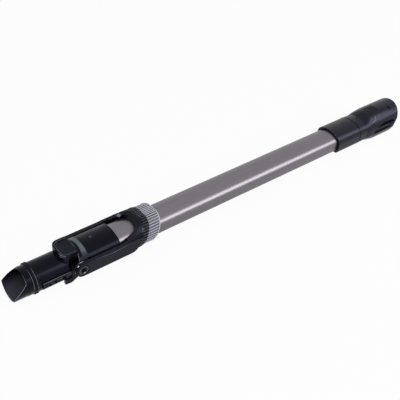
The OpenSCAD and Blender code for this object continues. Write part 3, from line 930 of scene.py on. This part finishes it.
    def trim_socket(self) -> None:
        """Adds the socket's fairing, joint, glint, patches of painted shade and the slot's floor,
        marks, the lip's painted highlight and the ends of its grooves.
        """
        self.fair_neck()
        cord("neck_joint", dee_path(356.65, 3.1, 0.0, -8.0), 0.6, DEEP_ABS, "wand")
        crescent = [(391.2, -13.6, 16.4), (391.0, -14.5, 15.8), (390.0, -16.0, 14.5),
                    (388.2, -17.0, 13.1), (385.6, -17.7, 12.1), (383.0, -17.9, 11.4),
                    (380.6, -17.6, 10.9)]
        cord("corner_glint", [at(*p) for p in crescent], 1.15, HIGHLIGHT_AND_MARK_ABS, "wand", taper=True)
        # The matt patch on the saddle and the dark patches in the grip recess and the slot are
        # painted shade.
        self.patch("saddle_painted_shade", ((383.5, 99), (397.5, 97), (397.8, 106), (385, 115)), MATT_PP)
        self.patch("grip_recess_shade", ((390.5, 168), (404, 157), (424, 159), (429, 168)), DEEP_ABS)
        self.patch("slanted_slot_shade", ((421.8, 109), (423.8, 108), (426.6, 121), (424.4, 122)),
                   DEEP_ABS)
        self.patch("slot_floor", ((425.3, 78), (429.8, 78), (429.8, 102), (425.3, 102)),
                   SOCKET_ABS, lift=0.03)
        cord("sleeve_mark", [at(339.6, 3.4, 14.55), at(342.6, 0.6, 14.6)], 0.3, DEEP_ABS, "wand")
        # Pale cord on the sleeve's lip: a painted highlight.
        cord("sleeve_lip_highlight", dee_path(312.9, 2.95, 0.0, -8.0), 0.3, HIGHLIGHT_AND_MARK_ABS, "wand", taper=True)
        self.end_groove("groove_end_near", -1)
        self.end_groove("groove_end_far", 1)

    def fair_neck(self) -> None:
        """Adds the fairing that swells from the neck's section to the round shells."""
        neck = dee_path(FAIRING_X, 3.16, 0.0, -8.0, whole=True)
        middle = at(0, 0, SOCKET_Z)
        outer, inner = [], []
        for t in steps(0.0, 1.0, 12):
            ease = math.sin(t * math.pi / 2)
            x = at(FAIRING_X + FAIRING_LEN * t, 0, 0).x
            loop, under = [], []
            for p in neck:
                way = Vector((0, p.y, p.z - middle.z))
                far = way.length * (1 - ease) + FAIRING_R * MM * ease
                for ring, less in ((loop, 0.0), (under, 1.0 * MM)):
                    spot = way.normalized() * (far - less)
                    ring.append(Vector((x, spot.y, middle.z + spot.z)))
            outer.append(loop)
            inner.append(under)
        skin_between("neck_fairing", outer, inner, SOCKET_ABS, "wand")

    def end_groove(self, name: str, way: int) -> None:
        """Closes a finger groove at the socket's far end with a solid bar.

        Args:
            name: name of the bar.
            way: -1 on the near side and 1 on the far side.
        """
        bm = bmesh.new()
        rows = []
        for high in steps(-4.2, 5.6, 6):
            wide = math.sqrt(GROOVE_R ** 2 - high ** 2)
            end = SOCKET_END_X + SLANT * (SOCKET_Z + high) - 0.2
            rows.append([bm.verts.new(at(x, way * y, SOCKET_Z + high))
                         for x, y in ((end - 8, wide - 2.2), (end, wide - 2.2), (end, wide),
                                      (end - 8, wide - 1.4))])
        for one, two in zip(rows, rows[1:]):
            for k in range(len(one)):
                j = (k + 1) % len(one)
                bm.faces.new((one[k], one[j], two[j], two[k]))
        bm.faces.new(rows[0])
        bm.faces.new(rows[-1])
        bmesh.ops.recalc_face_normals(bm, faces=bm.faces)
        piece_from(bm, name, SOCKET_ABS, "wand")

    def patch(self, name: str, corners: tuple[tuple[float, float], ...], finish: Finish,
              lift: float = 0.12) -> None:
        """Thin plate bent round the socket.

        Args:
            name: name of the piece.
            corners: place along the wand in mm and angle in degrees of its four corners.
            finish: its surface.
            lift: height over the socket's skin, in mm.
        """
        n = PATCH_STEPS
        bm = bmesh.new()
        rows = []
        for i in range(n + 1):
            row = []
            for j in range(n + 1):
                u, v = i / n, j / n
                x, turn = [((1 - v) * ((1 - u) * corners[0][k] + u * corners[1][k])
                            + v * ((1 - u) * corners[3][k] + u * corners[2][k])) for k in (0, 1)]
                rad = min(SKIN_MAX_R, SKIN_R + (x - SKIN_X) * SKIN_GROWS) + lift
                row.append([bm.verts.new(at(x, (rad - d) * math.cos(math.radians(turn)),
                                            SOCKET_Z + (rad - d) * math.sin(math.radians(turn))))
                            for d in (0.0, 0.6)])
            rows.append(row)
        for i in range(n):
            for j in range(n):
                for k in (0, 1):
                    bm.faces.new((rows[i][j][k], rows[i + 1][j][k],
                                  rows[i + 1][j + 1][k], rows[i][j + 1][k]))
        ring = [(i, 0) for i in range(n)] + [(n, j) for j in range(n)]
        ring += [(i, n) for i in range(n, 0, -1)] + [(0, j) for j in range(n, 0, -1)]
        for (a, b), (c, d) in zip(ring, ring[1:] + ring[:1]):
            bm.faces.new((rows[a][b][0], rows[c][d][0], rows[c][d][1], rows[a][b][1]))
        bmesh.ops.recalc_face_normals(bm, faces=bm.faces)
        piece_from(bm, name, finish, "wand")

    def shoulder(self) -> None:
        """Shows the shoulder with a black front rim and a slate band, partly a painted sheen, that
        fades to black on one side as painted shade.
        """
        bm = copied(self.frame, "shoulder_band")
        way = Vector((1, 0, -SLANT)).normalized()
        edge = at(-107.0, 0, 0)
        bmesh.ops.bisect_plane(bm, geom=[*bm.verts, *bm.edges, *bm.faces], plane_co=edge,
                               plane_no=way, dist=1e-6)
        for face in bm.faces:
            face.material_index = int((face.calc_center_median() - edge).dot(way) < 0)
        # The slate band is partly a painted sheen, and fades to black on its near side as painted
        # shade.
        piece = piece_from(bm, "shoulder_two_tone", SLATE_SHEEN_ABS, "head", 35.0, (GLOSS_ABS,))
        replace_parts(piece, "shoulder_band")

    def soften(self) -> None:
        """Rounds the edges of the moulded pieces that show."""
        for node, finish, width in (
            ("yoke", SATIN_ABS, 0.9), ("joint_cover", GLOSS_ABS, 0.6),
            ("release_button", MATT_PP, 1.2), ("button_bezel", GLOSS_ABS, 1.0),
            ("guide_rails", MATT_PP, 0.4), ("socket_sleeve", SOCKET_ABS, 0.5),
            ("upper_shell", SOCKET_ABS, 0.6), ("lower_shell", SOCKET_ABS, 0.6),
            ("socket_core", SOCKET_ABS, 0.4), ("latch_button", MATT_PP, 0.4),
        ):
            softened(self.frame, node, finish, self.bodies[node], width)


def main() -> None:
    """Builds the studio and the wand, and reports each piece."""
    logging.basicConfig(level=logging.INFO, format="%(message)s")
    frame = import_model()
    Studio().build()
    wand = Wand(frame)
    wand.dress_nodes()
    wand.soften()
    wand.shoulder()
    wand.trim_spigot()
    wand.trim_head()
    wand.trim_yoke()
    wand.trim_collar()
    wand.trim_socket()


if __name__ == "__main__":
    main()
